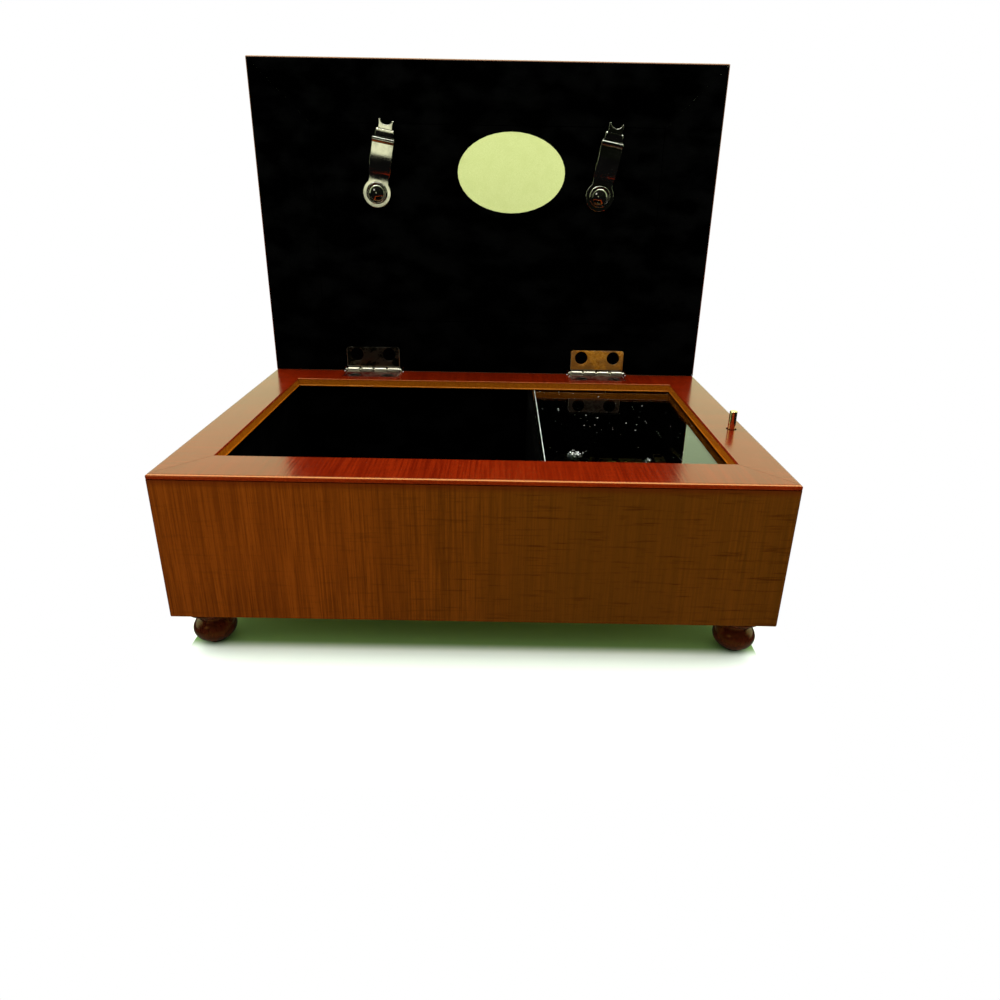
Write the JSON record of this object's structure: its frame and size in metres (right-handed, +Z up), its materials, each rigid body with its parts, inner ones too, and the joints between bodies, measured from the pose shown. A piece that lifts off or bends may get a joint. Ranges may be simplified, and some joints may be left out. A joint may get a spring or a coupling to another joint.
{
  "type": "musical jewelry box",
  "caption": "Rectangular lacquered box on turned feet, its frame lid open, with a flocked compartment beside a glass-covered musical movement.",
  "frame": {"origin": "on the floor, under the middle of the open box", "axes": "+X to the right of someone who faces the front, +Y from the front to the back, +Z up"},
  "size_m": [0.205, 0.1506, 0.2019],
  "materials": {
    "lacquered_wood": "dark red-brown walnut under gloss lacquer",
    "turned_wood": "dark stained turned wood under gloss lacquer",
    "plywood": "bare plywood",
    "black_flock": "black flock on board",
    "nickel": "bright nickel plate",
    "black_screws": "blackened steel",
    "brass": "machined brass",
    "steel": "ground steel",
    "zinc": "die-cast zinc, as cast",
    "glass": "clear float glass",
    "paper": "pale green-yellow paper, not printed",
    "card": "plain cream card"
  },
  "bodies": {
    "case": {"front_wall": "lacquered_wood", "back_wall": "lacquered_wood", "left_wall": "lacquered_wood", "right_wall": "lacquered_wood", "rim_front": "lacquered_wood", "rim_back": "lacquered_wood", "rim_left": "lacquered_wood", "rim_right": "lacquered_wood", "foot_front_left": "turned_wood", "foot_front_right": "turned_wood", "foot_back_left": "turned_wood", "foot_back_right": "turned_wood", "base_board": "plywood", "compartment_liner": "black_flock", "well_liner": "black_flock", "hinge_left_case_leaf": "nickel", "hinge_left_pin": "nickel", "hinge_right_case_leaf": "nickel", "hinge_right_pin": "nickel", "hinge_left_case_screw_1": "black_screws", "hinge_left_case_screw_2": "black_screws", "hinge_right_case_screw_1": "black_screws", "hinge_right_case_screw_2": "black_screws", "governor_bracket": "brass", "comb": "steel", "comb_screw_1": "steel", "comb_screw_2": "steel", "movement_screw_1": "steel", "movement_screw_2": "steel", "stop_spring": "steel", "movement_bedplate": "zinc", "glass_pane": "glass"},
    "lid": {"lid_rail_front": "lacquered_wood", "lid_rail_back": "lacquered_wood", "lid_rail_left": "lacquered_wood", "lid_rail_right": "lacquered_wood", "lid_panel": "black_flock", "picture_glass": "glass", "picture_card": "card", "oval_label": "paper", "rivet_left": "nickel", "rivet_right": "nickel", "hinge_left_lid_leaf": "nickel", "hinge_right_lid_leaf": "nickel", "hinge_left_lid_screw_1": "black_screws", "hinge_left_lid_screw_2": "black_screws", "hinge_right_lid_screw_1": "black_screws", "hinge_right_lid_screw_2": "black_screws"},
    "clip_left": {"clip_left": "nickel"},
    "clip_right": {"clip_right": "nickel"},
    "stop_rod": {"stop_rod": "nickel"},
    "barrel": {"spring_barrel": "brass", "crown_wheel": "brass"},
    "cylinder": {"pinned_cylinder": "brass"},
    "train": {"train_wheel": "brass"},
    "governor": {"governor_fly": "brass"},
    "key": {"winding_key": "nickel", "winding_arbor": "steel"}
  },
  "joints": [
    {"name": "lid_hinge", "type": "hinge", "parent": "case", "child": "lid", "pos_m": [0, 0.05948, 0.06715], "axis": [1, 0, 0], "range_deg": [0, 90]},
    {"name": "clip_left_swivel", "type": "hinge", "parent": "lid", "child": "clip_left", "pos_m": [-0.049, 0.05962, 0.14855], "axis": [0, -1, 0], "continuous": true},
    {"name": "clip_right_swivel", "type": "hinge", "parent": "lid", "child": "clip_right", "pos_m": [0.0506, 0.05962, 0.14855], "axis": [0, -1, 0], "continuous": true},
    {"name": "stop_rod_slide", "type": "slide", "parent": "case", "child": "stop_rod", "axis": [0, 0, 1], "range_m": [-0.00725, 0], "deforming": ["stop_spring"]},
    {"name": "barrel_spin", "type": "hinge", "parent": "case", "child": "barrel", "pos_m": [0.0405, 0.01868, 0.0223], "axis": [0, 0, 1], "continuous": true},
    {"name": "cylinder_spin", "type": "hinge", "parent": "case", "child": "cylinder", "pos_m": [0.0626, 0.01868, 0.0308], "axis": [1, 0, 0], "continuous": true},
    {"name": "train_spin", "type": "hinge", "parent": "case", "child": "train", "pos_m": [0.0749, 0.01116, 0.03354], "axis": [1, 0, 0], "continuous": true},
    {"name": "governor_spin", "type": "hinge", "parent": "case", "child": "governor", "pos_m": [0.0764, 0.00666, 0.03354], "axis": [0, 0, 1], "continuous": true},
    {"name": "key_spin", "type": "hinge", "parent": "case", "child": "key", "pos_m": [0.0405, 0.01868, 0.0223], "axis": [0, 0, 1], "continuous": true}
  ],
  "couplings": [
    {"joint": "stop_rod_slide", "follows": "lid_hinge", "m_per_rad": -0.0045837},
    {"joint": "cylinder_spin", "follows": "barrel_spin", "ratio": 1.6},
    {"joint": "train_spin", "follows": "barrel_spin", "ratio": -4.8},
    {"joint": "governor_spin", "follows": "barrel_spin", "ratio": -76.8}
  ]
}
